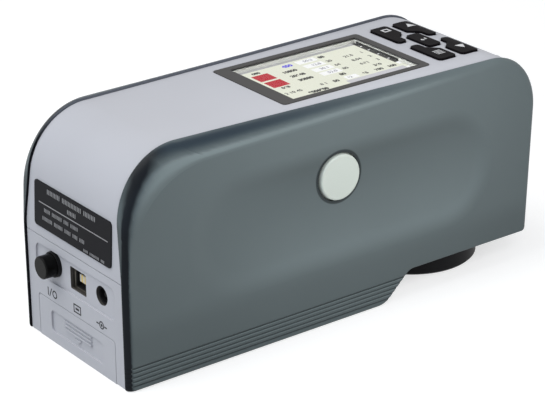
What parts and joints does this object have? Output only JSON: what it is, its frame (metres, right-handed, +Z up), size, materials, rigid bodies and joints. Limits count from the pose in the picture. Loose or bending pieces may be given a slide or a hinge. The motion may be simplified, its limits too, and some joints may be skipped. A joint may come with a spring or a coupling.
{
  "type": "benchtop colorimeter",
  "caption": "Handheld bench colorimeter with a display, keys, a side test button, end ports, a sliding battery door and a round contact ring under its raised end.",
  "frame": {"origin": "on the underside at z = 0, midway along the side shells and midway between them", "axes": "+X towards the raised measuring end, +Y away from the test button's side, +Z up"},
  "size_m": [0.2133, 0.0756, 0.0952],
  "materials": {
    "pale_plastic": "fine satin moulding, pale cool grey",
    "shell_plastic": "satin moulding, dark grey-green",
    "black_plastic": "satin moulding, black",
    "key_rubber": "moulded silicone, near black",
    "button_plastic": "satin moulding, off-white",
    "bezel_plastic": "satin moulding, dark warm grey",
    "label_film": "printed film, charcoal",
    "lens_glass": "clear polished window",
    "lcd_panel": "lit display, cream field",
    "circuit_board": "green solder mask",
    "steel": "zinc-plated screws and springs",
    "connector_metal": "nickel-plated shell",
    "insulator": "black insulator with a pale tongue",
    "gasket_foam": "pale closed-cell foam",
    "battery_film": "heat-shrunk blue sleeve",
    "sphere_white": "diffuse white coating"
  },
  "bodies": {
    "housing": {"left_shell": "shell_plastic", "right_shell": "shell_plastic", "top_cover": "pale_plastic", "port_panel": "pale_plastic", "base_cover": "pale_plastic", "label_plate": "label_film", "display_bezel": "bezel_plastic", "display_lens": "lens_glass", "display_gasket": "gasket_foam", "lcd_module": "lcd_panel", "main_board": "circuit_board", "key_switches": "black_plastic", "test_switch": "circuit_board", "power_switch": "black_plastic", "usb_shell": "connector_metal", "usb_insert": "insulator", "dc_jack": "black_plastic", "port_board": "circuit_board", "battery_tray": "black_plastic", "battery_pack": "battery_film", "battery_contacts": "steel", "nose_ring": "black_plastic", "sphere_lower": "sphere_white", "sphere_upper": "sphere_white", "sensor_tube": "black_plastic", "sensor_lens": "lens_glass", "sensor_board": "circuit_board", "led_board": "circuit_board", "case_screws": "steel", "board_screws": "steel", "head_screws": "steel"},
    "power_button": {"power_button": "black_plastic"},
    "test_button": {"test_button": "button_plastic"},
    "key_menu": {"key_menu": "key_rubber"},
    "key_up": {"key_up": "key_rubber"},
    "key_enter": {"key_enter": "key_rubber"},
    "key_down": {"key_down": "key_rubber"},
    "key_list": {"key_list": "key_rubber"},
    "battery_door": {"battery_door": "pale_plastic"}
  },
  "joints": [
    {"name": "power_button_press", "type": "slide", "parent": "housing", "child": "power_button", "axis": [1, 0, 0], "range_m": [0, 0.002], "stiffness_N_per_m": 1200, "springref_m": -0.0005},
    {"name": "test_button_press", "type": "slide", "parent": "housing", "child": "test_button", "axis": [0, 1, 0], "range_m": [0, 0.0013], "stiffness_N_per_m": 1500, "springref_m": -0.0004},
    {"name": "key_menu_press", "type": "slide", "parent": "housing", "child": "key_menu", "axis": [0, 0, -1], "range_m": [0, 0.0006], "stiffness_N_per_m": 2000, "springref_m": -0.0003},
    {"name": "key_up_press", "type": "slide", "parent": "housing", "child": "key_up", "axis": [0, 0, -1], "range_m": [0, 0.0006], "stiffness_N_per_m": 2000, "springref_m": -0.0003},
    {"name": "key_enter_press", "type": "slide", "parent": "housing", "child": "key_enter", "axis": [0, 0, -1], "range_m": [0, 0.0006], "stiffness_N_per_m": 2000, "springref_m": -0.0003},
    {"name": "key_down_press", "type": "slide", "parent": "housing", "child": "key_down", "axis": [0, 0, -1], "range_m": [0, 0.0006], "stiffness_N_per_m": 2000, "springref_m": -0.0003},
    {"name": "key_list_press", "type": "slide", "parent": "housing", "child": "key_list", "axis": [0, 0, -1], "range_m": [0, 0.0006], "stiffness_N_per_m": 2000, "springref_m": -0.0003},
    {"name": "battery_door_slide", "type": "slide", "parent": "housing", "child": "battery_door", "axis": [0, 0, -1], "range_m": [0, 0.019]}
  ]
}
